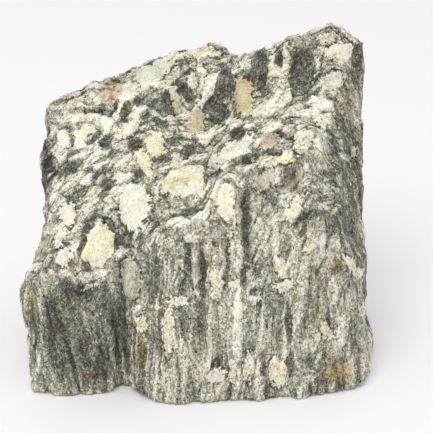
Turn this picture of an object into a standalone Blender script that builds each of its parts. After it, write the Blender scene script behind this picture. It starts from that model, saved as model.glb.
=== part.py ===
"""A hand-sized block of mica rock, an augen gneiss, standing on its worn foot.

One solid in metres, +Z up. The origin is at the middle of the stone's box, on the table
that the foot stands on. X runs along the longest side and the broken front faces -Y. The
rods of the rock stand upright, so the walls are fluted, and the sloping top cuts across
them.
"""
import bpy
import bmesh
from mathutils import Vector, noise

MM = 0.001

# Driving dimensions, in millimetres unless the name says otherwise.
COLUMNS = 62             # steps of the loft from the left end to the right end
VOXEL = 1.1              # grid of the remeshed stone
TRIANGLES = 9400         # size of the finished solid
ROUNDING_PASSES = 2      # smoothing that takes the loft's creases to a worn edge
ROUNDING = 0.5           # share of the way to its neighbours that a point moves each time
FOOT_INSET = 17.0        # how far in from the bottom edge the stone meets the table
FOOT_DROP = 1.6          # how far below the table the loft runs before it is cut flat
FOOT_MERGE = 0.02        # points this close to the cut lie on it

# Relief. A pitch is the width of one swell of the pattern, a depth its height.
FLUTE_PITCH = 9.0        # large rods on the walls
FLUTE_LENGTH = 75.0
FLUTE_DEPTH = 1.3
ROD_PITCH = 4.5          # small rods between them
ROD_LENGTH = 37.0
ROD_DEPTH = 0.5
KNOT_PITCH = 12.0        # knots of the broken top
KNOT_DEPTH = 2.4
KNOT_DEPTH_ON_WALLS = 0.5
BAND_PITCH = 6.5         # bands of the foliation on the top
BAND_LENGTH = 26.0
BAND_DEPTH = 1.7
SWELL_PITCH = 38.0       # slow waviness of every face
SWELL_DEPTH = 1.4
WALL_SLOPE = (0.5, 0.85)     # upward share of the facing where the rods fade out
TOP_SLOPE = (0.3, 0.65)      # upward share of the facing where the knots come in
SWELL_CORE = 0.25            # share of a swell's radius that stands at its full height

# Run of the foliation over the top.
ALONG = Vector((0.89, 0.45, 0.0))

# Finish of the stone.
STONE_COLOUR = (0.42, 0.41, 0.35, 1.0)
STONE_ROUGHNESS = 0.72

# Form lines of the stone, each drawn from its left end to its right end. They run from
# the back of the foot up over the top and down the front.
BACK_FOOT = [(-67, 33, 3), (-52, 44, 2), (-25, 49, 1.5), (5, 48, 1.5), (32, 48, 2),
             (56, 42, 2), (68, 33, 3), (73, 22, 4)]
BACK_LOW = [(-69, 38, 40), (-52, 49, 42), (-25, 53, 42), (5, 52, 44), (30, 51, 42),
            (55, 45, 44), (68, 37, 46), (71, 30, 45)]
BACK_HIGH = [(-67, 42, 82), (-50, 50, 86), (-25, 53, 90), (0, 53, 92), (25, 51, 92),
             (50, 47, 94), (66, 40, 95), (70, 34, 92)]
BACK_EDGE = [(-68, 41, 95.5), (-65, 43, 98.5), (-53, 46, 104.7), (-44, 48, 109), (-35, 49, 112.7),
             (-28, 50, 116), (-21, 50, 119.6), (-7, 50, 122.4), (1.6, 49, 124.6), (6, 47, 126),
             (11.5, 45, 123.8), (20, 46, 119.5), (30, 46, 122), (42, 45, 126), (56, 43, 130),
             (66, 39, 128), (71.5, 34, 124)]
CREST = [(-67.5, 37, 95.6), (-61, 34, 97), (-52, 32, 99.5), (-43, 29, 100), (-36, 29, 102),
         (-34, 31, 104.4), (-25, 31, 106.8), (-18, 32, 109.7), (-11.5, 31, 111.6), (-7, 33, 114),
         (-3, 36, 116.8), (2, 36, 118), (8, 36, 120), (15, 35, 123), (19, 34, 125), (26, 29, 127),
         (29, 26, 130.3), (36, 25, 133.3), (41.5, 25, 135.2), (45, 25, 134.8), (51, 27, 138),
         (58, 29, 139.8), (64.5, 28, 136.4), (70, 28, 135.4), (72.8, 30, 132.4)]
WALL_MIDDLE = [(-67, 35, 92.5), (-61, 32.5, 96.2), (-51, 29.5, 97.6), (-42, 27, 98.2), (-33.5, 26.5, 101),
               (-25, 26.5, 102.6), (-18, 26.5, 104.2), (-8, 27, 106.3), (-2.6, 27, 105.8),
               (4, 26, 106.5), (12.7, 24, 109.6), (19, 24, 113.4), (28, 18, 118.8), (36, 16, 122.6),
               (44.6, 16, 124.4), (52, 20, 124), (60, 19, 128), (66, 22, 127), (72.6, 26, 124)]
WALL_FOOT = [(-66, 30, 90), (-60.5, 31, 95), (-51.5, 27, 95.5), (-42.5, 25, 96), (-33.5, 23, 97.5),
             (-24.5, 22, 98.7), (-18, 21, 99.5), (-8, 21, 99.6), (-2.6, 18, 96.3), (4, 16, 96),
             (12.7, 13, 98.2), (19, 14, 102.4), (27.6, 9, 108.9), (36, 7, 112.8), (44, 7, 115),
             (51.5, 8, 116.6), (59, 9, 117.6), (66, 16, 115), (72.4, 24, 114)]
BENCH = [(-65, 10, 75), (-60, 8, 82.5), (-51, 4, 84), (-42, 1, 85), (-33, -2, 86.5), (-25, -4, 88),
         (-14, -8, 88.5), (-4, -8, 89.5), (4, -8, 90.6), (10.5, -6, 95.5), (19, -5, 100.5),
         (26.4, -5, 104.3), (36, -5, 107), (43, -6, 108.3), (48.3, -9, 107), (60, 6, 106.5),
         (71.4, 20, 105)]
BROW = [(-64, -24, 61), (-60, -27, 63), (-51, -29, 65.5), (-40, -31, 66.5), (-31.5, -32, 69.8),
        (-25, -33, 75), (-14, -33, 78), (-5, -32, 81), (4.3, -30, 84.5), (12.5, -27, 90.5),
        (18.6, -25, 94.5), (26, -23, 100.4), (35, -20, 102), (42, -18.5, 103), (46.4, -18.5, 103.4),
        (59, 0, 100.5), (70.8, 15, 97.5)]
RIM = [(-66, -34, 56), (-61, -40.5, 56.9), (-55, -43, 55.5), (-48, -43, 50), (-43, -43, 50),
       (-38.8, -43, 51.5), (-33.7, -42, 56.5), (-31, -40.5, 60.6), (-27.8, -41, 66), (-24, -41, 70.6),
       (-14, -41, 73), (-5, -40, 76.4), (4.3, -38, 80.4), (12.4, -35, 85.7), (18.5, -33, 90),
       (25.7, -31.5, 97.8), (34.7, -28.5, 99.8), (42, -27, 100.4), (46, -25.6, 101), (58, -6, 97),
       (70.6, 12, 92.5)]
FRONT_HIGH = [(-70, -34, 51), (-65.5, -41, 52), (-55, -44, 50.5), (-47.5, -43.8, 47), (-38.5, -43.5, 48.5),
              (-32, -41, 54), (-30, -40, 57), (-25, -43, 61), (-14, -44, 63), (4, -43.5, 67),
              (20, -41, 72), (35, -38.8, 77), (42, -38, 81), (48.6, -36.6, 88), (57.5, -37.6, 78),
              (64.5, -18, 76), (72, 4, 74)]
FRONT_MIDDLE = [(-72.3, -31, 43.5), (-67, -41, 45), (-56, -44.5, 44), (-47, -44, 42.5), (-37, -43.5, 43),
                (-32, -41.5, 44), (-30, -39.5, 45), (-26, -45, 46), (-18, -48, 47), (-5, -49.5, 48),
                (4, -48.5, 49), (20, -46.5, 50), (40, -43.8, 50), (57, -41.3, 48), (67.6, -38.8, 46),
                (71, -24, 48), (74.2, -8, 50)]
FRONT_LOW = [(-71, -31, 22), (-67.5, -41, 22), (-57, -45.3, 22), (-45, -45, 22), (-35, -42.5, 22),
             (-30, -39, 22), (-25.5, -46.5, 23), (-18, -50, 22), (-10, -52, 22), (4, -50.8, 22),
             (20, -48.8, 22), (40, -46.8, 22), (57, -44.3, 22), (67.5, -41, 22), (72, -34, 22),
             (73.5, -12, 23)]
FRONT_FOOT = [(-71, -37, 1.6), (-69, -44.6, 0.9), (-57.3, -47.2, 0.5), (-44.6, -46.2, 0.5),
              (-36.3, -44, 1.2), (-29.5, -40.5, 2.2), (-23.3, -48, 2.2), (-19, -51.8, 1.3),
              (-11.7, -54.4, 0.5), (-4.2, -53, 0.3), (4.2, -52.8, 0.2), (17, -51.2, 0.2), (28, -50.4, 0.2),
              (38, -47.8, 1.4), (43.4, -49.6, 0.3), (57, -46.4, 0.8), (67.6, -43.4, 1), (74.4, -37, 2),
              (77, -25, 2.6), (78, -10, 4.5)]

# Slabs that stand above the lofted form, each a convex block by its corners.
SLABS = {
    "cream slab": [(-17, -14, 85.5), (-9, -9, 88), (2, -8, 91.5), (4, -13, 92), (4.4, -21, 90.2),
                   (2, -27.5, 87.2), (-8, -31.5, 83), (-18, -34.5, 79), (-20, -27, 79.5), (-12, -12, 76),
                   (2, -12, 78), (1, -26, 74), (-16, -32, 68)],
    "white slab": [(8, -12, 94.5), (13, -3, 99.5), (27, -2, 106), (30, -10, 106), (27.5, -18.5, 103.4),
                   (19, -20.5, 99.6), (11, -17, 95), (12, -10, 84), (25, -5, 90), (24, -17, 90)],
    "back plate": [(-66, 35.5, 99), (-58, 31.5, 100.6), (-50, 30.5, 101.6), (-43, 27.5, 102.2),
                   (-36, 27.5, 104.6), (-60, 45, 99.5), (-38, 48, 109.5), (-60, 40, 90), (-40, 42, 90)],
}

# Chips that were struck off: everything inside each convex block is gone.
CHIPS = {
    "scar beside the notch": [(-29.5, -56, 36), (-22, -56, 41), (-12, -56, 42), (-9.5, -56, 47.5),
                              (2, -56, 49.5), (8, -56, 60), (-8, -56, 72), (-29.5, -56, 68),
                              (-28, -43.6, 39), (-21, -46.2, 43.5), (-12, -47.3, 44.5), (-8, -47.4, 49.5),
                              (1, -47.6, 51.5), (-24, -43.2, 60), (-14, -44.4, 64), (0, -44.6, 62)],
    "crack under the back plate": [(-56, 20, 97.4), (-38, 18, 99.4), (-56, 33.5, 99.6),
                                   (-38, 32, 101.4), (-56, 33, 96.8), (-38, 31, 99.2)],
    "back left corner": [(-80, 32, -6), (-42, 60, -6), (-80, 60, -6), (-80, 40, 62), (-54, 60, 84),
                         (-80, 60, 70)],
    "back right corner": [(46, 60, 30), (84, 26, 20), (84, 60, 30), (54, 60, 150), (84, 35, 150),
                          (84, 60, 150)],
    "back scar": [(-38, 62, 82), (-22, 62, 62), (-8, 62, 70), (8, 62, 52), (26, 62, 50), (40, 62, 78),
                  (24, 62, 122), (-26, 62, 120), (-30, 53, 82), (-20, 51.8, 66), (-7, 51.2, 73),
                  (8, 50.4, 57), (24, 50, 56), (34, 50.6, 78), (18, 54, 112), (-22, 54, 112)],
    "low back scar": [(10, 62, -6), (58, 62, -6), (54, 62, 20), (36, 62, 36), (18, 62, 28), (14, 46.5, -6),
                      (54, 38.5, -6), (50, 46, 16), (36, 48.5, 31), (20, 50.5, 22)],
    "left side scar": [(-95, -8, 30), (-95, 52, 8), (-95, 56, 60), (-95, 30, 78), (-95, 0, 62),
                       (-71.6, -2, 36), (-66.5, 40, 14), (-64.5, 44, 56), (-67.5, 24, 72), (-71, 2, 56)],
    "left foot": [(-95, -24, -6), (-95, 22, -6), (-95, 14, 10), (-95, -12, 15), (-71, -20, -6),
                  (-66.5, -2, -6), (-68, 18, -6), (-70, 6, 8), (-71, -8, 12)],
    "right side scar": [(95, 14, 52), (95, 62, 38), (95, 62, 96), (95, 34, 104), (95, 18, 84),
                        (72, 16, 56), (60, 50, 42), (59, 50, 92), (69, 32, 98), (71.5, 19, 82)],
    "ledge above the brink": [(27, -45, 101.2), (45, -42, 102.4), (27, -45, 112), (45, -42, 112),
                              (28, -20.5, 100.6), (44.5, -19.5, 102), (28, -19, 112), (44.5, -18, 112)],
}

# Rounded swells (+) and hollows (-): centre, radii along x, y and z, and height.
SWELLS = {
    "large white eye": ((-25, -25, 79), (10, 10, 12), 2.4),
    "yellow eye": ((-40, -33, 65), (12, 12, 13), 2.3),
    "left eye": ((-55, -18, 70), (7, 8, 9), 1.6),
    "lower left eye": ((-57, -34, 61), (8, 8, 8), 1.6),
    "round eye": ((-16.5, 2, 91), (6, 6, 8), 1.6),
    "cream column": ((20, 17, 110), (5.5, 9, 13), 2.0),
    "pale column": ((0, 23, 104), (4, 9, 14), 1.6),
    "peak block": ((60, 18, 128), (11, 12, 14), 1.8),
    "left bulge": ((-68, 20, 78), (9, 18, 16), 2.6),
    "back left eye": ((-58, 24, 91), (6, 7, 8), 1.5),
    "cream knot": ((-46, 22, 93), (9, 7, 8), 1.3),
    "yellow lens": ((-22, -11, 86), (6, 7, 9), 1.3),
    "bench knot": ((44, -11, 106), (9, 7, 9), 1.4),
    "top lens": ((-21, 44, 115), (10, 8, 9), 1.5),
    "top knot": ((-45, 40, 105), (9, 6, 8), 1.4),
    "round lens of the brow": ((15, -29, 92), (6, 6, 9), 1.2),
    "slab shoulder": ((-70, -30, 36), (8, 12, 16), 1.2),
    "dark hollow of the wall": ((10, 21, 103), (9, 10, 14), -3.2),
    "dark oval of the wall": ((45, 14, 123), (8, 9, 13), -2.8),
    "narrow dark hollow": ((28, 17, 118), (4.5, 9, 13), -1.8),
    "small dark hollow": ((35, 17, 126), (4, 7, 9), -1.6),
    "left dark hollow": ((-5, 27, 108), (5, 8, 9), -1.6),
    "hollow of the bench": ((-2, 4, 93), (16, 13, 12), -1.6),
    "dip behind the eyes": ((-38, -8, 82), (16, 10, 12), -1.2),
    "egg on the front": ((45.5, -40, 66), (6, 6, 9), 0.9),
    "hood over the egg": ((44.5, -39, 76), (7, 6, 6), -1.2),
    "brown hollow": ((39, -33, 90), (7, 7, 11), -1.8),
    "groove of the notch": ((-31, -40, 25), (4.5, 7, 34), -2.2),
    "low groove": ((37.5, -45, 30), (4, 6, 22), -1.4),
    "long brown groove": ((4, -46, 60), (4, 7, 40), -1.1),
    "second brown groove": ((21, -41, 66), (4, 7, 40), -1.1),
}


def at_x(line, x):
    """Point of a form line at the given x, between its neighbours on the line."""
    for left, right in zip(line, line[1:]):
        if x <= right[0]:
            share = (x - left[0]) / (right[0] - left[0])
            return Vector(left).lerp(Vector(right), share)
    return Vector(line[-1])


def under(line):
    """The line drawn in below the foot, so that the flat cut stops short of the edge."""
    inward = []
    for x, y, _ in line:
        flat = Vector((x, y, 0))
        flat -= flat.normalized() * FOOT_INSET
        inward.append((flat.x, flat.y, -FOOT_DROP))
    return inward


def loft(lines, ridge):
    """A closed shell through the form lines; ridge is the line where back and front meet."""
    lines = [under(lines[0])] + lines + [under(lines[-1])]
    ridge += 1
    shell = bmesh.new()
    bmesh.ops.create_grid(shell, x_segments=COLUMNS - 1, y_segments=len(lines) - 1, size=1.0)
    foot, left_end, right_end = [], [], []
    for edge in shell.edges:
        rows = {round((vert.co.y + 1.0) / 2.0 * (len(lines) - 1)) for vert in edge.verts}
        if edge.is_boundary and len(rows) == 1:
            foot.append(edge)
        elif edge.is_boundary and rows != {ridge, ridge + 1}:
            (left_end if edge.verts[0].co.x < 0 else right_end).append(edge)
    for vert in shell.verts:
        across = (vert.co.x + 1.0) / 2.0
        line = lines[round((vert.co.y + 1.0) / 2.0 * (len(lines) - 1))]
        vert.co = at_x(line, line[0][0] + across * (line[-1][0] - line[0][0]))
    for edges in (foot, left_end, right_end):
        bmesh.ops.bridge_loops(shell, edges=edges)
    bmesh.ops.triangulate(shell, faces=shell.faces)
    bmesh.ops.recalc_face_normals(shell, faces=shell.faces)
    return shell


def solid(corners):
    """A convex block through hand-placed corners."""
    block = bmesh.new()
    for corner in corners:
        block.verts.new(corner)
    hull = bmesh.ops.convex_hull(block, input=block.verts)
    loose = [item for item in hull["geom_interior"] if isinstance(item, bmesh.types.BMVert)]
    bmesh.ops.delete(block, geom=loose, context="VERTS")
    bmesh.ops.recalc_face_normals(block, faces=block.faces)
    return block


def as_object(name, shape):
    """An object in the scene from a bmesh, which is freed."""
    mesh = bpy.data.meshes.new(name)
    shape.to_mesh(mesh)
    shape.free()
    thing = bpy.data.objects.new(name, mesh)
    bpy.context.scene.collection.objects.link(thing)
    return thing


def evaluated(thing):
    """The object's shape with its modifiers, as a bmesh; the object itself is removed."""
    bpy.context.view_layer.update()
    graph = bpy.context.evaluated_depsgraph_get()
    shape = bmesh.new()
    shape.from_object(thing, graph)
    bpy.data.objects.remove(thing)
    return shape


def weathered_block():
    """The lofted stone with its slabs and chips, remeshed to an even grid."""
    back = [BACK_FOOT, BACK_LOW, BACK_HIGH, BACK_EDGE]
    front = [CREST, WALL_MIDDLE, WALL_FOOT, BENCH, BROW, RIM, FRONT_HIGH, FRONT_MIDDLE,
             FRONT_LOW, FRONT_FOOT]
    stone = as_object("stone", loft(back + front, ridge=len(back) - 1))
    tools = []
    for blocks, operation in ((SLABS, "UNION"), (CHIPS, "DIFFERENCE")):
        for name, corners in blocks.items():
            tools.append(as_object(name, solid(corners)))
            step = stone.modifiers.new(name, "BOOLEAN")
            step.operation = operation
            step.solver = "EXACT"
            step.object = tools[-1]
    grid = stone.modifiers.new("grid", "REMESH")
    grid.mode = "VOXEL"
    grid.voxel_size = VOXEL
    shape = evaluated(stone)
    for tool in tools:
        bpy.data.objects.remove(tool)
    for _ in range(ROUNDING_PASSES):
        bmesh.ops.smooth_vert(shape, verts=shape.verts, factor=ROUNDING,
                              use_axis_x=True, use_axis_y=True, use_axis_z=True)
    return shape


def smooth_step(value, low, high):
    """0 below low, 1 above high and an even curve between."""
    share = min(1.0, max(0.0, (value - low) / (high - low)))
    return share * share * (3.0 - 2.0 * share)


def swell_at(place):
    """Height of the named swells and hollows at a place."""
    height = 0.0
    for centre, radii, peak in SWELLS.values():
        reach = Vector((place[axis] - centre[axis]) / radii[axis] for axis in range(3))
        height += peak * (1.0 - smooth_step(reach.length, SWELL_CORE, 1.0))
    return height


def pattern(place, pitch, length, run):
    """Noise with the given pitch, drawn out to the given length along the run."""
    drawn = place.dot(run) * (1.0 / length - 1.0 / pitch)
    return noise.noise(place / pitch + run * drawn)


def relief_at(place, facing):
    """Height of the stone's relief at a place whose surface faces the given way."""
    up = Vector((0.0, 0.0, 1.0))
    wall = 1.0 - smooth_step(abs(facing.z), *WALL_SLOPE)
    top = smooth_step(facing.z, *TOP_SLOPE)
    rods = FLUTE_DEPTH * pattern(place, FLUTE_PITCH, FLUTE_LENGTH, up)
    rods += ROD_DEPTH * pattern(place, ROD_PITCH, ROD_LENGTH, up)
    knot = noise.noise(place / KNOT_PITCH)
    band = pattern(place, BAND_PITCH, BAND_LENGTH, ALONG)
    height = SWELL_DEPTH * noise.noise(place / SWELL_PITCH)
    height += wall * (rods + KNOT_DEPTH_ON_WALLS * knot)
    height += top * (KNOT_DEPTH * knot + BAND_DEPTH * band)
    return height + swell_at(place)


def carve(shape):
    """Move each point of the grid out or in by the relief."""
    shape.normal_update()
    moves = [vert.normal * relief_at(vert.co, vert.normal) for vert in shape.verts]
    for vert, move in zip(shape.verts, moves):
        vert.co += move


def thin_out(shape):
    """Fewer triangles, kept where the relief needs them."""
    stone = as_object("stone", shape)
    fewer = stone.modifiers.new("fewer", "DECIMATE")
    fewer.ratio = TRIANGLES / sum(len(face.vertices) - 2 for face in stone.data.polygons)
    return evaluated(stone)


def cut_foot(shape):
    """Cut the underside flat at the table and close it with one flat face."""
    everything = shape.verts[:] + shape.edges[:] + shape.faces[:]
    bmesh.ops.bisect_plane(shape, geom=everything, dist=FOOT_MERGE, plane_co=(0, 0, 0),
                           plane_no=(0, 0, 1), clear_inner=True)
    rim = [edge for edge in shape.edges if edge.is_boundary]
    bmesh.ops.holes_fill(shape, edges=rim, sides=0)
    bmesh.ops.triangulate(shape, faces=shape.faces)


def centre(shape):
    """Slide the stone so that the origin is at the middle of its box, on the table."""
    middle = Vector((0.0, 0.0, 0.0))
    for axis in (0, 1):
        across = [vert.co[axis] for vert in shape.verts]
        middle[axis] = (min(across) + max(across)) / 2.0
    bmesh.ops.translate(shape, vec=-middle, verts=shape.verts)


def stone_material():
    """Grey and cream speckled stone with a faint mica sheen."""
    stone = bpy.data.materials.new("mica stone")
    stone.use_nodes = True
    surface = stone.node_tree.nodes["Principled BSDF"]
    surface.inputs["Base Color"].default_value = STONE_COLOUR
    surface.inputs["Roughness"].default_value = STONE_ROUGHNESS
    surface.inputs["Metallic"].default_value = 0.0
    stone.diffuse_color = STONE_COLOUR
    return stone


def main():
    """Build the rock in an empty scene."""
    for thing in list(bpy.data.objects):
        bpy.data.objects.remove(thing)
    shape = weathered_block()
    carve(shape)
    shape = thin_out(shape)
    cut_foot(shape)
    centre(shape)
    bmesh.ops.scale(shape, vec=(MM, MM, MM), verts=shape.verts)
    rock = as_object("rock", shape)
    rock.data.materials.append(stone_material())
    rock.data.shade_flat()


main()
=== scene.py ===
import math
import bpy
import bmesh
import numpy as np
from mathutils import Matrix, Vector, noise
from mathutils.bvhtree import BVHTree


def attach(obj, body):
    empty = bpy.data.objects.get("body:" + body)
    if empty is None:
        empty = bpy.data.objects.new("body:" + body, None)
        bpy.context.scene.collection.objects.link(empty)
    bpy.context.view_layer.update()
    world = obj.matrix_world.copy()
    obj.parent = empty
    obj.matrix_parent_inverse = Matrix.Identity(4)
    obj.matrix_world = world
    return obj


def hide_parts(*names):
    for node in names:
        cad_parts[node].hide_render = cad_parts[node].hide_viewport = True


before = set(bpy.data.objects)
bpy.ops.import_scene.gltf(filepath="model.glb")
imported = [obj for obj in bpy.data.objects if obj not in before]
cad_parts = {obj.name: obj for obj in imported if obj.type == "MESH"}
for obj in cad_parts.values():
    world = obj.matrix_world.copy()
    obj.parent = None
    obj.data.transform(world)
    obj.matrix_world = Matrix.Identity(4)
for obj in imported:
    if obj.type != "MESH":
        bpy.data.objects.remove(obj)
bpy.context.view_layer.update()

scene = bpy.context.scene
mm = 0.001

# The view of the photograph. Places on the stone below are pixels of its frame.
shot = {
    "aim": Vector((0.00662, 0.00035, 0.062)),
    "rise": 25.0,        # degrees above the table
    "reach": 0.6,        # metres from the camera to the aim
    "lens": 114.677,
    "sensor": 36.0,
    "pixels": 433,
}
rise = math.radians(shot["rise"])
viewRight = Vector((1.0, 0.0, 0.0))
viewBack = Vector((0.0, -math.cos(rise), math.sin(rise)))
viewUp = Vector((0.0, math.sin(rise), math.cos(rise)))
cameraPlace = shot["aim"] + viewBack * shot["reach"]
focal = shot["pixels"] * shot["lens"] / shot["sensor"]
pixelSize = shot["reach"] / focal / mm  # of the stone, in millimetres


def lineThrough(x, y):
    across, up = x - shot["pixels"] / 2, shot["pixels"] / 2 - y
    return (viewRight * across + viewUp * up - viewBack * focal).normalized()


def pixelsOf(points):
    # points in millimetres, one a row
    rel = points * mm - np.array(cameraPlace)
    depth = -rel @ np.array(viewBack)
    x = shot["pixels"] / 2 + focal * (rel @ np.array(viewRight)) / depth
    y = shot["pixels"] / 2 - focal * (rel @ np.array(viewUp)) / depth
    return x, y


# Colours of the minerals, linear.
mineral = {
    "white": (0.93, 0.92, 0.85),
    "cream": (0.93, 0.90, 0.76),
    "yellow": (0.91, 0.88, 0.66),
    "green": (0.65, 0.64, 0.39),
    "tan": (0.70, 0.62, 0.44),
    "ochre": (0.50, 0.38, 0.16),
    "orange": (0.50, 0.27, 0.05),
    "brown": (0.20, 0.14, 0.08),
    "rust": (0.28, 0.16, 0.08),
    "pink": (0.88, 0.84, 0.77),
    "grey": (0.52, 0.51, 0.45),
    "blue": (0.30, 0.31, 0.36),
    "olive": (0.16, 0.16, 0.08),
    "mint": (0.76, 0.77, 0.69),
}

# Feldspar eyes and pale lenses: middle, half length and half width in pixels, turn of the
# long way up from level in degrees, mineral, and bulge in millimetres.
eyes = {
    "bigEye": (134, 205, 23, 16, 80, "white", 1.6),
    "yellowEye": (98, 245, 23, 16, 80, "cream", 1.5),
    "leftEye": (68, 213, 13, 8, 75, "white", 0.9),
    "lowLeftEye": (59, 240, 10, 6, 70, "white", 0.6),
    "lowestLeftEye": (63, 256, 9, 7, 60, "white", 0.7),
    "backLeftEye": (64, 139, 9, 7, 110, "white", 0.9),
    "backLeftLens": (84, 134, 14, 8, 30, "cream", 0.8),
    "plateLens": (80, 117, 15, 5, 8, "cream", 0.4),
    "edgeLens": (75, 102, 11, 5, 25, "cream", 0.3),
    "plateauEye": (152, 71, 20, 9, 28, "mint", 0.9),
    "plateauLens": (175, 57, 13, 5, 15, "cream", 0.4),
    "plateauKnob": (203, 52, 17, 6, 5, "cream", 0.5),
    "pinkLens": (130, 88, 10, 7, 30, "pink", 0.4),
    "longLens": (127, 129, 12, 5, 40, "cream", 0.6),
    "roundEye": (156, 144, 12, 10, 80, "cream", 1.3),
    "yellowLens": (145, 163, 15, 6, 118, "yellow", 0.7),
    "smallLens": (176, 159, 12, 4.5, 65, "white", 0.6),
    "mossLens": (176, 104, 17, 4.5, 95, "green", 0.5),
    "whitePost": (192, 80, 11, 5, 80, "white", 0.5),
    "whiteVein": (208, 92, 21, 5, 62, "white", 0.6),
    "tanPatch": (196, 121, 13, 10, 80, "tan", 0.5),
    "tanColumn": (243, 95, 18, 9, 95, "tan", 0.9),
    "whiteCap": (244, 64, 8, 5, 0, "white", 0.4),
    "paleDash": (232, 123, 9, 4.5, 25, "white", 0.5),
    "creamSlab": (183, 182, 23, 14, 18, "cream", 0.6),
    "whiteSlab": (232, 150, 29, 8, 37, "white", 0.6),
    "ledgeLens": (273, 159, 24, 6, 8, "cream", 0.5),
    "ledgeStreak": (267, 142, 14, 6, 35, "tan", 0.3),
    "ridgeLens": (303, 141, 13, 8, 70, "white", 0.5),
    "ridgeTip": (317, 112, 10, 4.5, 100, "white", 0.4),
    "greenLens": (296, 108, 10, 4, 30, "green", 0.2),
    "peakLens": (340, 51, 14, 9, 5, "pink", 0.7),
    "peakTop": (327, 38, 10, 4, 15, "pink", 0.3),
    "peakFoot": (331, 81, 16, 8, 20, "mint", 0.5),
    "gapPost": (286, 55, 15, 4, 85, "white", 0.4),
    "gapStrip": (273, 62, 13, 3.5, 88, "yellow", 0.4),
    "browBump": (226, 207, 15, 8, 100, "cream", 0.7),
    "greySmooth": (264, 181, 12, 9, 60, "grey", 0.3),
    "rimBump": (179, 300, 11, 5, 8, "white", 0.7),
    "slabStreak": (89, 287, 11, 2.5, 25, "white", 0.3),
    "creamFoot": (278, 371, 17, 8, 90, "cream", 0.4),
    "whiteKnob": (239, 309, 10, 7, 80, "white", 0.5),
    "smallKnob": (256, 297, 8, 6, 70, "white", 0.4),
    "topKnob": (236, 283, 8, 5, 60, "white", 0.3),
    "paleKnob": (280, 268, 14, 7, 120, "cream", 0.5),
    "crossKnob": (287, 285, 13, 4.5, 20, "white", 0.5),
    "blockChip": (216, 375, 10, 7, 10, "pink", 0.5),
    "paleApron": (295, 211, 16, 7, 75, "cream", 0.4),
    "ridgeCrest": (352, 266, 14, 5, 130, "white", 0.5),
    "creamDrop": (326, 331, 9, 5, 95, "cream", 0.4),
    "sideBulge": (364, 314, 14, 4, 90, "white", 0.3),
    "chamferSpot": (354, 152, 6, 4, 60, "white", 0.2),
    "blockTop": (141, 324, 9, 6, 90, "yellow", 0.4),
    "greyLens": (131, 279, 21, 10, 100, "grey", 0.4),
    "paleColumn": (169, 330, 26, 6, 92, "cream", 0.3),
    "lowColumn": (249, 367, 15, 5, 90, "cream", 0.3),
    "nextColumn": (232, 371, 15, 4, 90, "cream", 0.3),
    "midColumn": (217, 283, 17, 7, 90, "cream", 0.3),
    "thinRidge": (231, 245, 20, 2.5, 88, "white", 0.3),
}

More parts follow.
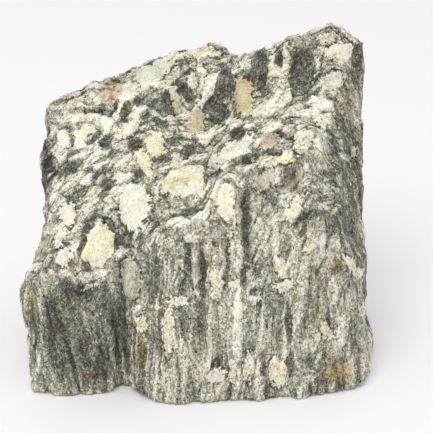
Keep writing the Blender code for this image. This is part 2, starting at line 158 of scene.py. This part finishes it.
# Clots and seams of dark mica, and painted shadows under overhangs and in shaded cracks, grooves and
# hollows: the same numbers, with the depth that each is worn down.
darkMarks = {
    "ovalClot": (303, 71, 24, 13, 80, 0.9),
    "wallClot": (216, 110, 15, 11, 100, 1.0),
    "wallShade": (225, 84, 17, 9, 70, 0.5),
    "columnClot": (262, 71, 26, 7, 92, 0.6),
    "smallClot": (279, 58, 10, 5, 80, 0.5),
    "browClot": (236, 134, 9, 6, 15, 0.6),
    "brownClot": (125.5, 112, 10, 6, 80, 0.5),
    "nextClot": (138, 101, 7, 5, 50, 0.4),
    "midClot": (146, 116, 7, 4, 60, 0.3),
    "eyeClot": (136, 143, 8, 5, 0, 0.6),
    "eyeCrown": (160, 123, 9, 5, 150, 0.5),
    "eyeSpot": (155, 130, 5, 3, 120, 0.3),
    "eyeFoot": (160, 159, 10, 4, 10, 0.5),
    "eyeSide": (174, 141, 9, 4, 100, 0.4),
    "lensClot": (138, 173, 8, 5, 120, 0.5),
    "postClot": (182, 88, 7, 6, 90, 0.5),
    "postFoot": (190, 97, 9, 5, 95, 0.5),
    "ribClot": (166, 97, 9, 4, 80, 0.4),
    "leftSpot": (70, 167, 8, 6, 20, 0.4),
    "leftClot": (107, 183, 8, 6, 10, 0.4),
    "backClot": (106, 140, 8, 6, 70, 0.4),
    "backSeam": (93, 137, 10, 3, 35, 0.4),
    "backSpot": (66, 128, 8, 3, 10, 0.3),
    "eyeEdge": (71, 143, 7, 2.5, 60, 0.3),
    "betweenEyes": (91, 222, 19, 5, 60, 0.8),
    "betweenLow": (82, 245, 13, 4, 70, 0.6),
    "stainSpot": (117, 243, 8, 5, 80, 0.5),
    "notchTop": (141, 242, 11, 4, 75, 0.5),
    "leftDot": (66, 243, 5, 4, 0, 0.3),
    "slabShadow": (185, 212, 20, 3, 24, 0.9),
    "slabEdge": (205, 178, 13, 1.6, 85, 0.6),
    # painted shadow under the overhanging slab, dark in the colour as well as cut in
    "overhangShadow": (272, 151.5, 10, 2.4, -4, 0.9),
    "whiteEdge": (252, 153, 17, 1.8, 40, 0.5),
    "benchSeam": (190, 150, 12, 5, 20, 0.4),
    "peakSeam": (311, 96, 11, 3.5, 35, 0.6),
    # painted shadow in the undercut crack beneath the plateau's lip
    "plateCrackShadow": (95, 112.5, 19, 1.3, 4, 0.8),
    "plateCrackShadowEnd": (114, 107, 6, 1.4, 50, 0.7),
    # painted shadow under the small hood over the egg-shaped lens
    "hoodShadow": (308, 216, 14, 4.5, 12, 0.8),
    "hoodShadowLeft": (299, 221, 8, 3, 60, 0.6),
    "longGroove": (203, 282, 42, 3.5, 88, 0.5),
    "secondGroove": (246, 238, 48, 4, 89, 0.4),
    "thirdGroove": (227, 275, 15, 2, 88, 0.3),
    "lowGroove": (288.5, 325, 24, 3.5, 90, 0.7),
    "lowSeam": (263, 362, 19, 3, 88, 0.3),
    "footSeam": (290, 362, 15, 4, 90, 0.3),
    "blockLine": (160, 348, 36, 1.0, 88, 0.4),
    "rimSeam": (183, 327, 17, 2.2, 88, 0.4),
    "browDot": (190, 245, 5, 4, 0, 0.4),
    "notchLine": (127, 355, 34, 2.4, 98, 0.6),
    # painted shade in the groove on the right part of the left slab
    "grooveShadeStrip": (112, 318, 17, 3.2, 98, 0.4),
    "grooveShadeStrip2": (105, 305, 14, 3.5, 95, 0.4),
    # painted shade in the hollows under the overhanging top
    "slabHollowShade": (69, 289, 10, 6, 95, 0.4),
    "knobDot": (254, 291, 5, 3, 10, 0.3),
    "footDot": (214, 363, 7, 4, 60, 0.4),
    "eggRim": (304, 241, 14, 1.2, 80, 0.4),
    "chamferEdge": (360, 60, 26, 2.5, 88, 0.3),
}

# Soft stains: middle, half length, half width, turn, mineral and strength.
stains = {
    "eyeStain": (90, 250, 9, 6, 90, "yellow", 0.9),
    "eyeStainTop": (102, 236, 8, 6, 60, "tan", 0.35),
    "slabStreak": (183, 182, 20, 4, 12, "green", 0.8),
    "slabTan": (170, 183, 8, 7, 0, "tan", 0.5),
    "roundStain": (156, 152, 8, 5, 0, "tan", 0.6),
    "plateauOchre": (111, 90, 14, 12, 60, "ochre", 0.8),
    "plateauTan": (108, 101, 9, 5, 10, "tan", 0.7),
    "plateauMoss": (110, 78, 9, 4, 20, "green", 0.7),
    "plateauDot": (165, 81, 6, 5, 20, "green", 0.8),
    "mossFoot": (177, 117, 6, 5, 0, "orange", 0.6),
    "patchMoss": (93, 190, 10, 7, 60, "green", 0.6),
    "tanTop": (247, 80, 8, 8, 0, "ochre", 0.45),
    "tanMoss": (243, 107, 9, 5, 0, "green", 0.6),
    "ovalRust": (292, 66, 16, 6, 85, "rust", 0.5),
    "gapRust": (279, 58, 10, 6, 85, "rust", 0.5),
    "browBrown": (236, 134, 10, 7, 15, "brown", 0.6),
    "clotBrown": (125, 112, 10, 6, 80, "ochre", 0.4),
    "ledgeMoss": (284, 158, 12, 5, 0, "yellow", 0.9),
    "ledgeBrown": (268, 141, 14, 7, 30, "brown", 0.4),
    "brownHollow": (291, 181, 14, 7, 95, "brown", 0.75),
    "shoulderBrown": (245, 203, 15, 7, 95, "brown", 0.65),
    "grooveBrown": (200, 265, 26, 7, 88, "brown", 0.6),
    "secondBrown": (246, 235, 45, 5, 89, "brown", 0.4),
    "orangeSpot": (335, 268, 8, 5, 10, "orange", 0.75),
    "orangeDot": (318, 269, 5, 5, 0, "orange", 0.5),
    "eggTan": (311, 241, 13, 7, 95, "tan", 0.5),
    "ovalTan": (212, 252, 11, 6, 95, "tan", 0.6),
    "yellowGroove": (319, 317, 13, 5, 100, "green", 0.95),
    "oliveNick": (327, 318, 6, 4, 0, "olive", 0.7),
    "footOchre": (337, 372, 18, 15, 30, "ochre", 0.8),
    "blockCore": (141, 355, 19, 6, 92, "ochre", 0.8),
    "blockRim": (141, 332, 14, 7, 90, "yellow", 0.5),
    "slabRed": (52, 325, 26, 6, 92, "rust", 0.55),
    "slabOlive": (66, 328, 16, 9, 80, "olive", 0.5),
    "facetMoss": (31, 305, 24, 6, 95, "green", 0.55),
    "slabFoot": (91, 376, 11, 7, 20, "rust", 0.7),
    "coldSpot": (307, 300, 7, 6, 0, "blue", 0.7),
    "coldPatch": (332, 232, 10, 8, 0, "blue", 0.5),
    "coldStrip": (152, 336, 26, 5, 90, "blue", 0.35),
    "chamferBrown": (347, 100, 26, 7, 90, "rust", 0.3),
    "leftRimMoss": (45, 250, 14, 4, 80, "green", 0.5),
}

# Wide shifts of light and dark: middle, half sizes, turn and shift of the level.
shades = {
    "leftSlab": (82, 335, 60, 52, 90, -0.23),
    "slabHead": (75, 292, 38, 12, 10, -0.06),
    # painted shade on the left side face
    "leftSideShade": (47, 160, 36, 6, 90, -0.42),
    "flankStrip": (126, 355, 38, 6, 98, 0.14),
    # painted shade on the right chamfer, which faces away from the light
    "chamfer": (344, 170, 75, 18, 95, -0.14),
    "frontMiddle": (240, 300, 60, 95, 0, 0.06),
    "belowEyes": (165, 268, 32, 26, 10, -0.12),
    "matrixLeft": (100, 160, 35, 35, 0, 0.06),
    "plateau": (120, 90, 75, 22, 28, 0.10),
    "bench": (260, 130, 60, 20, 38, 0.06),
    "rightWall": (320, 310, 70, 40, 90, 0.05),
}

# The bands of mica and feldspar run along x and fall back to the left, less so at the back.
foliation = {
    "slope": 0.42,
    "backSlope": 0.06,
    "backEnds": (16.0, 38.0),  # mm of y where the slope changes
    "fold": 0.35,              # added slope at the right shoulder
    "foldPlace": (33.0, -10.0),
    "foldSize": (14.0, 12.0),
    "along": (0.9, 0.4),
    "wrap": 0.85,              # how far the bands bend round an eye
    "wrapDepth": 1.3,          # the bend's depth, in the eye's heights
    "leastBulge": 0.6,         # of the eyes that bend them
}

stone = {
    "grid": 0.6,               # mm between the points of the mesh before it is thinned
    "softening": 6,            # passes over the facets of the CAD solid
    "triangles": 196000,
    "topSlope": (0.30, 0.62),  # share of the facing that is up, where walls turn into top
    "floorFade": (0.05, 1.2),  # mm above the table between which the relief sets in
    "rods": 0.75,              # depths of the relief in mm
    "fineRods": 0.25,
    "flakes": 0.7,
    "lozenges": 1.3,
    "chips": 0.45,
    "seams": 0.6,
    "knots": 0.5,
    "grit": 0.25,
    "rodCells": ((3.8, 3.8, 110.0), 3.1),     # pitches in mm, and a shift that changes the draw
    "fineRodCells": ((1.6, 1.6, 50.0), 7.7),
    "lozengeCells": ((9.0, 3.8, 7.0), 5.2),
    "chipCells": ((3.6, 1.5, 3.0), 9.4),
    "flakeRipple": ((7.0, 7.0, 9.0), 1.3),
    "knotRipple": ((4.6, 4.6, 4.6), 9.4),
    "gritRipple": ((1.6, 1.6, 2.2), 2.5),
    "flakeEdge": (0.02, 0.09),
    "rodSeam": 0.16,           # share of a cell that its seam takes
    "lozengeSeam": 0.20,
    "wave": 1.6,               # mm that broken pieces stray from straight
    "wavePitch": (4.0, 4.0, 9.0),
    "waveOnWalls": 0.35,       # share of it on the rods
    "lean": 0.18,              # of the rods of the left slab
    "leanEnds": (-45.0, -12.0),
    "eyeSlope": (0.2, 1.15),   # shares of an eye's half width between which its bulge falls
    "darkMarkSlope": (0.3, 1.2),
    "stainSlope": (0.45, 1.25),
    "shadeSlope": (0.6, 1.2),
    "ragged": ((5.0, 3.6, 11.0, 23.0), (1.9, 2.4, 31.0, 47.0)),  # pitch, pixels and two shifts
    "markEnds": (-3.0, 6.0),   # mm outside and inside of an outline that are told apart
    "strength": (0.30, 0.75),  # of a lens's colour: at least, and more for each mm of bulge
}


def smooth(value, low, high):
    share = np.clip((value - low) / (high - low), 0.0, 1.0)
    return share * share * (3.0 - 2.0 * share)


def ripple(points, pitch, shift):
    # noise about 0, one value a point, that swells once in each pitch
    places = points / np.array(pitch) + shift
    return np.fromiter((noise.noise(place) for place in places.tolist()), float, len(places))


def cells(points, pitch, shift):
    # broken lozenges: a random value for each, and how far each point lies from its border
    gap, seed = np.empty(len(points)), np.empty((len(points), 3))
    for row, place in enumerate((points / np.array(pitch) + shift).tolist()):
        distances, middles = noise.voronoi(place)
        gap[row] = distances[1] - distances[0]
        seed[row] = middles[0]
    chance = np.sin(seed @ np.array((12.9898, 78.233, 37.719))) * 43758.5453  # scrambles the place
    return chance - np.floor(chance), gap


def evaluated(thing):
    bpy.context.view_layer.update()
    graph = bpy.context.evaluated_depsgraph_get()
    shape = bpy.data.meshes.new_from_object(thing.evaluated_get(graph))
    old = thing.data
    thing.modifiers.clear()
    thing.data = shape
    bpy.data.meshes.remove(old)


def pointsOf(mesh):
    values = np.empty(len(mesh.vertices) * 3, np.float32)
    mesh.vertices.foreach_get("co", values)
    return values.reshape(-1, 3).astype(float) / mm


def facingOf(mesh):
    values = np.empty(len(mesh.vertices) * 3, np.float32)
    mesh.vertex_normals.foreach_get("vector", values)
    return values.reshape(-1, 3).astype(float)


class Marks:
    # where the marks lie on the stone, worked out for every point of the mesh
    def __init__(self, points, facing, tree):
        self.points, self.tree = points, tree
        self.x, self.y = pixelsOf(points)
        for pitch, stray, shiftX, shiftY in stone["ragged"]:
            self.x = self.x + stray * ripple(points, (pitch,) * 3, shiftX)
            self.y = self.y + stray * ripple(points, (pitch,) * 3, shiftY)
        self.seen = facing @ np.array(viewBack) > -0.05  # also a little round the edge

    def anchor(self, x, y):
        return self.tree.ray_cast(cameraPlace, lineThrough(x, y))[0] / mm

    def reach(self, x, y, length, width, turn):
        # how far out each point lies, 1 on the mark's edge, and far away off its own side
        turn = math.radians(turn)
        over, up = self.x - x, y - self.y
        run = (over * math.cos(turn) + up * math.sin(turn)) / length
        side = (up * math.cos(turn) - over * math.sin(turn)) / width
        away = np.linalg.norm(self.points - np.array(self.anchor(x, y)), axis=1)
        near = away < 3.0 * max(length, width) * pixelSize + 4.0
        return np.where(near & self.seen, np.hypot(run, side), 9.0)

    def share(self, place, ends):
        # 1 in the middle of a mark and 0 outside
        return 1.0 - smooth(self.reach(*place), *ends)

    def inside(self, place):
        # mm inside the mark's edge
        return np.clip((1.0 - self.reach(*place)) * place[3] * pixelSize, *stone["markEnds"])


def flowOf(points):
    # along and across the foliation
    x, y = points[:, 0], points[:, 1]
    back = foliation["slope"] - foliation["backSlope"]
    slope = foliation["slope"] - back * smooth(y, *foliation["backEnds"])
    (foldX, foldY), (wide, deep) = foliation["foldPlace"], foliation["foldSize"]
    fold = np.exp(-((x - foldX) / wide) ** 2 - ((y - foldY) / deep) ** 2)
    across = y - x * slope - foliation["fold"] * (x - foldX) * fold
    along = foliation["along"][0] * x + foliation["along"][1] * y
    return along, across


def wrapRound(across, marks, points):
    # the bands part in front of each eye and close behind it
    x, y = points[:, 0], points[:, 1]
    for *place, _, bulge in eyes.values():
        if bulge < foliation["leastBulge"]:
            continue
        px, py, length, width, turn = place
        at = marks.anchor(px, py)
        middle = flowOf(np.array([at]))[1][0]
        run, climb = math.cos(math.radians(turn)), math.sin(math.radians(turn))
        wide = math.hypot(length * run, width * climb) * pixelSize
        tall = math.hypot(length * climb, width * run) * pixelSize * foliation["wrapDepth"]
        out = ((x - at.x) / wide) ** 2 + ((y - at.y) / tall) ** 2
        pull = foliation["wrap"] * np.minimum(1.0, 1.0 / np.maximum(out, 0.001))
        across = across - (across - middle) * pull
    return across


def buildStone():
    print("stone: form")
    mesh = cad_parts["rock"].data.copy()
    shape = bmesh.new()
    shape.from_mesh(mesh)
    bmesh.ops.remove_doubles(shape, verts=shape.verts, dist=0.001 * mm)
    shape.to_mesh(mesh)
    tree = BVHTree.FromBMesh(shape)
    shape.free()
    thing = bpy.data.objects.new("mica_rock", mesh)
    scene.collection.objects.link(thing)
    grid = thing.modifiers.new("grid", "REMESH")
    grid.mode = "VOXEL"
    grid.voxel_size = stone["grid"] * mm
    soft = thing.modifiers.new("soft", "SMOOTH")
    soft.factor = 0.5
    soft.iterations = stone["softening"]
    evaluated(thing)

    print("stone: relief")
    mesh = thing.data
    points, facing = pointsOf(mesh), facingOf(mesh)
    marks = Marks(points, facing, tree)
    top = smooth(facing[:, 2], *stone["topSlope"])
    along, across = flowOf(points)
    across = wrapRound(across, marks, points)
    flow = np.column_stack((along, across, points[:, 2]))
    stray = [ripple(points, stone["wavePitch"], shift) for shift in (3.0, 6.0, 9.0)]
    stray = stone["wave"] * np.column_stack(stray)
    upright = points + stone["waveOnWalls"] * stray
    upright[:, 0] += stone["lean"] * (1.0 - smooth(points[:, 0], *stone["leanEnds"])) * points[:, 2]
    rod, rodGap = cells(upright, *stone["rodCells"])
    thin, _ = cells(upright, *stone["fineRodCells"])
    lozenge, lozengeGap = cells(flow + stray, *stone["lozengeCells"])
    chip, _ = cells(flow + stray, *stone["chipCells"])
    flake = smooth(ripple(points, *stone["flakeRipple"]), *stone["flakeEdge"])
    walls = stone["rods"] * (rod - 0.5) + stone["fineRods"] * (thin - 0.5) + stone["flakes"] * flake
    walls -= stone["seams"] * (1.0 - smooth(rodGap, 0.0, stone["rodSeam"]))
    bench = stone["lozenges"] * (lozenge - 0.5) + stone["chips"] * (chip - 0.5)
    bench -= stone["seams"] * (1.0 - smooth(lozengeGap, 0.0, stone["lozengeSeam"]))
    bench += stone["knots"] * ripple(points, *stone["knotRipple"])
    height = (1.0 - top) * walls + top * bench
    height += stone["grit"] * ripple(points, *stone["gritRipple"])
    for *place, _, bulge in eyes.values():
        height += bulge * marks.share(place, stone["eyeSlope"])
    for *place, depth in darkMarks.values():
        height -= depth * marks.share(place, stone["darkMarkSlope"])
    height *= smooth(points[:, 2], *stone["floorFade"])
    moved = points + facing * height[:, None]
    moved[:, 2] = np.maximum(moved[:, 2], 0.0)
    mesh.vertices.foreach_set("co", (moved * mm).astype(np.float32).ravel())

    print("stone: marks")
    write(mesh, "flow", "FLOAT_VECTOR", flow)
    write(mesh, "top", "FLOAT", top)
    write(mesh, "mosaic", "FLOAT_VECTOR", np.column_stack((lozenge, lozengeGap, chip)))
    write(mesh, "columns", "FLOAT_VECTOR", np.column_stack((rod, rodGap, thin)))
    pale = np.full(len(points), stone["markEnds"][0])
    colour = np.tile((*mineral["cream"], 0.0), (len(points), 1))
    for *place, kind, bulge in eyes.values():
        inside = marks.inside(place)
        strength = min(1.0, stone["strength"][0] + stone["strength"][1] * bulge)
        colour = np.where((inside > pale)[:, None], (*mineral[kind], strength), colour)
        pale = np.maximum(pale, inside)
    # mm inside the nearest dark mark; these are mica clots, and also painted shadows
    dark = np.full(len(points), stone["markEnds"][0])
    for *place, _ in darkMarks.values():
        dark = np.maximum(dark, marks.inside(place))
    stain = np.zeros((len(points), 4))
    for *place, kind, strength in stains.values():
        share = strength * marks.share(place, stone["stainSlope"])
        weight = share / np.maximum(share + stain[:, 3], 0.000001)
        stain[:, :3] += (np.array(mineral[kind]) - stain[:, :3]) * weight[:, None]
        stain[:, 3] = np.maximum(stain[:, 3], share)
    # wide shifts of the level; leftSideShade and chamfer among them are painted shade
    shift = np.zeros(len(points))
    for *place, amount in shades.values():
        shift += amount * marks.share(place, stone["shadeSlope"])
    write(mesh, "pale", "FLOAT", pale)
    write(mesh, "dark", "FLOAT", dark)
    write(mesh, "shift", "FLOAT", shift)
    write(mesh, "lens", "FLOAT_COLOR", colour)
    write(mesh, "stain", "FLOAT_COLOR", stain)

    print("stone: thinning")
    fewer = thing.modifiers.new("fewer", "DECIMATE")
    fewer.ratio = stone["triangles"] / (2 * len(mesh.polygons))
    evaluated(thing)
    for vertex in thing.data.vertices:
        vertex.co.z = max(vertex.co.z, 0.0)
    thing.data.shade_smooth()
    print("stone:", len(thing.data.polygons), "faces")
    return thing


def write(mesh, name, kind, values):
    layer = mesh.attributes.new(name, kind, "POINT")
    slot = {"FLOAT": "value", "FLOAT_VECTOR": "vector", "FLOAT_COLOR": "color"}[kind]
    layer.data.foreach_set(slot, np.asarray(values, np.float32).ravel())


class Wire:
    # one output of a node; arithmetic on it adds Math nodes behind it
    def __init__(self, socket):
        self.socket = socket

    def node(self, kind, settings, sockets, out=0):
        tree = self.socket.id_data
        fresh = tree.nodes.new(kind)
        for name, value in settings.items():
            if name == "stops":
                while len(fresh.color_ramp.elements) < len(value):
                    fresh.color_ramp.elements.new(0.5)
                for element, (place, colour) in zip(fresh.color_ramp.elements, value):
                    element.position = place
                    element.color = (*colour, 1.0)
            else:
                setattr(fresh, name, value)
        for name, value in sockets.items():
            if isinstance(value, Wire):
                tree.links.new(value.socket, fresh.inputs[name])
            else:
                fresh.inputs[name].default_value = value
        return Wire(fresh.outputs[out])

    def maths(self, operation, *values):
        return self.node("ShaderNodeMath", {"operation": operation}, dict(enumerate(values)))

    def __add__(self, other):
        return self.maths("ADD", self, other)

    __radd__ = __add__

    def __sub__(self, other):
        return self.maths("SUBTRACT", self, other)

    def __rsub__(self, other):
        return self.maths("SUBTRACT", other, self)

    def __mul__(self, other):
        return self.maths("MULTIPLY", self, other)

    __rmul__ = __mul__

    def step(self, low, high):
        # 0 below low and 1 above high
        settings = {"interpolation_type": "SMOOTHSTEP"}
        sockets = {"Value": self, "From Min": low, "From Max": high}
        return self.node("ShaderNodeMapRange", settings, sockets)

    def between(self, first, second):
        # colours mixed by this wire
        settings = {"data_type": "RGBA", "clamp_factor": True}
        return self.node("ShaderNodeMix", settings, {0: self, 6: first, 7: second}, 2)

    def product(self, other):
        # of colours or vectors
        return self.node("ShaderNodeVectorMath", {"operation": "MULTIPLY"}, {0: self, 1: other})

    def cloud(self, pitch, detail=2.0, roughness=0.5):
        # noise from 0 to 1 that swells once in each pitch, which may differ along x, y and z
        place = self.product(tuple(1.0 / size for size in pitch))
        sockets = {"Vector": place, "Scale": 1.0, "Detail": detail, "Roughness": roughness}
        return self.node("ShaderNodeTexNoise", {}, sockets)

    def grains(self, pitch):
        # one random value for each grain
        place = self.product(tuple(1.0 / size for size in pitch))
        cells = self.node("ShaderNodeTexVoronoi", {}, {"Vector": place, "Scale": 1.0}, 1)
        return self.node("ShaderNodeSeparateColor", {}, {"Color": cells})


look = {
    "level": 0.58,            # of the groundmass, from 0, dark mica, to 1, white feldspar
    "bands": 0.95,            # swings of the level
    "fineBands": 0.30,
    "clouds": 0.3,
    "grains": 0.30,
    "fineGrains": 0.35,
    "lozenges": 0.55,
    "chips": 0.22,
    "seams": 0.28,
    "rods": 0.30,
    "thin": 0.16,
    "rodSeams": 0.10,
    "topLift": 0.19,
    "rims": 0.16,             # of dark mica round each eye
    "salt": 0.20,             # single pale and dark grains
    "pepper": 0.26,
    "dimmed": 0.85,           # how far a dark mark, mica clot and painted shadow alike, hides the groundmass
    "darkLevel": 0.25,
    "paleLevel": 0.98,
    "edge": 0.30,             # mm over which the edge of an eye or clot fades
    "strayPale": 2.6,         # mm that such an edge strays
    "strayDark": 2.2,
    "strayGrain": 1.1,
    "bandPitch": (11.0, 1.5, 38.0),      # mm along, across and up
    "fineBandPitch": (4.0, 0.75, 16.0),
    "castPitch": (9.0, 2.2, 60.0),
    "cloudPitch": (9.0, 9.0, 16.0),
    "raggedPitch": (2.2, 2.2, 2.2),
    "wallGrain": (0.7, 0.7, 1.2),
    "topGrain": (0.95, 0.95, 0.95),
    "fineGrain": (0.55, 0.55, 0.8),
    "pepperGrain": (0.5, 0.5, 0.62),
    "warm": (1.05, 1.0, 0.90, 1.0),      # casts of the bands
    "cool": (0.95, 0.99, 1.03, 1.0),
    "lensGain": (1.09, 1.09, 1.13),
    "stainGain": (1.3, 1.3, 1.3),
    "roughness": 0.78,
    "sheen": 0.28,            # less rough on dark mica
    "specular": 0.4,
    "bump": 0.35,
}

# Dark mica at the low end of the level, then quartz and feldspar.
mineralRamp = [
    (0.00, (0.014, 0.014, 0.011)),
    (0.22, (0.060, 0.060, 0.048)),
    (0.42, (0.196, 0.186, 0.146)),
    (0.60, (0.412, 0.393, 0.312)),
    (0.78, (0.700, 0.672, 0.560)),
    (1.00, (0.920, 0.910, 0.830)),
]


def stoneFinish():
    finish = bpy.data.materials.new("mica_gneiss")
    finish.use_nodes = True
    surface = finish.node_tree.nodes["Principled BSDF"]
    start = Wire(finish.node_tree.nodes.new("ShaderNodeTexCoord").outputs["Object"])
    place = start.product((1.0 / mm,) * 3)

    def parts(vector):
        node = vector.node("ShaderNodeSeparateXYZ", {}, {0: vector})
        return [Wire(socket) for socket in node.socket.node.outputs]

    def read(name, out):
        return start.node("ShaderNodeAttribute", {"attribute_name": name}, {}, out)

    flow, top = read("flow", 1), read("top", 2)
    pale, dark, shift = read("pale", 2), read("dark", 2), read("shift", 2)
    lens, strength = read("lens", 0), read("lens", 3)
    stain, stained = read("stain", 0), read("stain", 3)

    bands = flow.cloud(look["bandPitch"], 3.0, 0.6) - 0.5
    fineBands = flow.cloud(look["fineBandPitch"], 2.0, 0.6) - 0.5
    clouds = place.cloud(look["cloudPitch"]) - 0.5
    wallGrain, topGrain = place.grains(look["wallGrain"]), place.grains(look["topGrain"])
    grain = wallGrain + top * (topGrain - wallGrain) - 0.5
    fine = place.cloud(look["fineGrain"], 1.0) - 0.5
    ragged = place.cloud(look["raggedPitch"], 3.0, 0.65) - 0.5
    pepper = place.grains(look["pepperGrain"])
    specks = look["salt"] * (1.0 - pepper.step(0.06, 0.16)) - look["pepper"] * pepper.step(0.84, 0.93)
    grainy = grain * look["grains"] + fine * look["fineGrains"] + specks

    lozenge, seam, chip = parts(read("mosaic", 1))
    patches = look["lozenges"] * (lozenge - 0.5) + look["chips"] * (chip - 0.5)
    patches = patches - look["seams"] * (1.0 - seam.step(0.0, 0.22))
    rod, rodSeam, thin = parts(read("columns", 1))
    rods = look["rods"] * (rod - 0.5) + look["thin"] * (thin - 0.5)
    rods = rods - look["rodSeams"] * (1.0 - rodSeam.step(0.0, 0.16))
    level = (look["level"] + shift + look["bands"] * bands + look["fineBands"] * fineBands
             + rods + top * (patches - rods + look["topLift"]) + look["clouds"] * clouds + grainy)

    edge = (-look["edge"], look["edge"])
    isPale = (pale + ragged * look["strayPale"] + grain * look["strayGrain"]).step(*edge)
    isDark = (dark + ragged * look["strayDark"] + grain * look["strayGrain"]).step(*edge)
    rim = (pale + ragged * look["strayPale"]).step(-1.5, -0.3) * (1.0 - isPale)
    level = level - rim * look["rims"]
    # the level of the dark marks: dark mica in the clots, painted shadow in the shadow marks
    darkMarkLevel = look["darkLevel"] + grainy + 0.3 * bands
    level = level + isDark * look["dimmed"] * (darkMarkLevel - level)
    white = isPale * strength * (1.0 - isDark)
    feldspar = look["paleLevel"] + 0.8 * grainy + 0.35 * bands + 0.25 * fineBands
    level = level + white * (feldspar - level)

    ground = level.node("ShaderNodeValToRGB", {"stops": mineralRamp}, {"Fac": level})
    ground = ground.product(flow.cloud(look["castPitch"]).between(look["warm"], look["cool"]))
    colour = white.between(ground, ground.product(lens.product(look["lensGain"])))
    amount = stained * (0.6 + 0.9 * (ragged + 0.5)) * (0.8 + 0.5 * grain)
    colour = amount.between(colour, colour.product(stain.product(look["stainGain"])))
    shine = look["roughness"] - look["sheen"] * (1.0 - level.step(0.15, 0.5))
    relief = grain * 0.35 + fine * 0.5 + fineBands * 0.35 + bands * 0.3 + ragged * 0.7
    sockets = {"Strength": look["bump"], "Distance": mm, "Height": relief}
    bump = start.node("ShaderNodeBump", {}, sockets)
    links = finish.node_tree.links
    links.new(colour.socket, surface.inputs["Base Color"])
    links.new(shine.socket, surface.inputs["Roughness"])
    links.new(bump.socket, surface.inputs["Normal"])
    surface.inputs["Specular IOR Level"].default_value = look["specular"]
    return finish


rock = buildStone()
rock.data.materials.clear()
rock.data.materials.append(stoneFinish())
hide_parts("rock")
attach(rock, "root")

print("studio")
studio = {
    "floorSize": 6.0,
    "floorColour": (0.975, 0.975, 0.985, 1.0),
    "sky": 0.72,
    "keyPlace": (-0.5, -1.3, 2.1),
    "keySize": 1.6,
    "keyPower": 26.0,
}


def buildFloor():
    shape = bmesh.new()
    bmesh.ops.create_grid(shape, x_segments=1, y_segments=1, size=studio["floorSize"] / 2)
    mesh = bpy.data.meshes.new("floor")
    shape.to_mesh(mesh)
    shape.free()
    floor = bpy.data.objects.new("floor", mesh)
    scene.collection.objects.link(floor)
    paint = bpy.data.materials.new("floor_paint")
    paint.use_nodes = True
    surface = paint.node_tree.nodes["Principled BSDF"]
    surface.inputs["Base Color"].default_value = studio["floorColour"]
    surface.inputs["Roughness"].default_value = 0.9
    mesh.materials.append(paint)


def softBox(name, place, aim, size, power):
    lamp = bpy.data.lights.new(name, "AREA")
    lamp.size = size
    lamp.energy = power
    thing = bpy.data.objects.new(name, lamp)
    scene.collection.objects.link(thing)
    thing.location = place
    thing.rotation_euler = (Vector(aim) - Vector(place)).to_track_quat("-Z", "Y").to_euler()


buildFloor()
softBox("key", studio["keyPlace"], shot["aim"], studio["keySize"], studio["keyPower"])
world = bpy.data.worlds.new("studio")
world.use_nodes = True
world.node_tree.nodes["Background"].inputs["Color"].default_value = (1.0, 1.0, 1.0, 1.0)
world.node_tree.nodes["Background"].inputs["Strength"].default_value = studio["sky"]
scene.world = world
scene.view_settings.view_transform = "Standard"

camera = bpy.data.cameras.new("camera")
camera.lens = shot["lens"]
camera.sensor_width = shot["sensor"]
camera.clip_start = 0.01
cameraObject = bpy.data.objects.new("camera", camera)
scene.collection.objects.link(cameraObject)
cameraObject.location = cameraPlace
cameraObject.rotation_euler = (math.radians(90.0) - rise, 0.0, 0.0)
scene.camera = cameraObject
